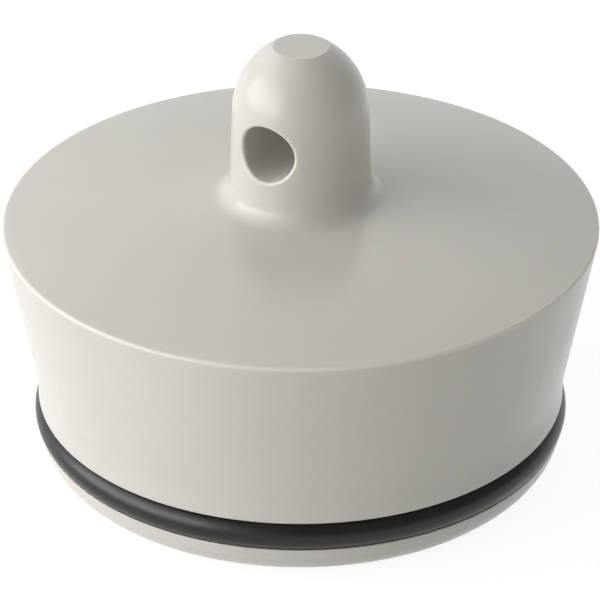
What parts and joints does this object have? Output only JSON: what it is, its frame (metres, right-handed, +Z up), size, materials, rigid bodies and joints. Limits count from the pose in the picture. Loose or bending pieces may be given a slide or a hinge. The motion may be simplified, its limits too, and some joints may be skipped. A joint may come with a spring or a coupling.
{
  "type": "drain stopper",
  "caption": "Tapered plastic drain plug with a domed cover, a pull knob with a cross hole for a chain, and a rubber sealing ring in a slot round its foot.",
  "frame": {"origin": "centre of the foot's lower face, on the plug's axis", "axes": "+Z up along the plug's axis, from the foot to the knob; Y along the chain hole"},
  "size_m": [0.05, 0.05, 0.0377],
  "materials": {
    "plug_plastic": "satin moulded plastic, pale warm grey",
    "ring_rubber": "smooth black rubber, slightly dull"
  },
  "bodies": {
    "root": {"plug_body": "plug_plastic", "sealing_ring": "ring_rubber"}
  },
  "joints": []
}
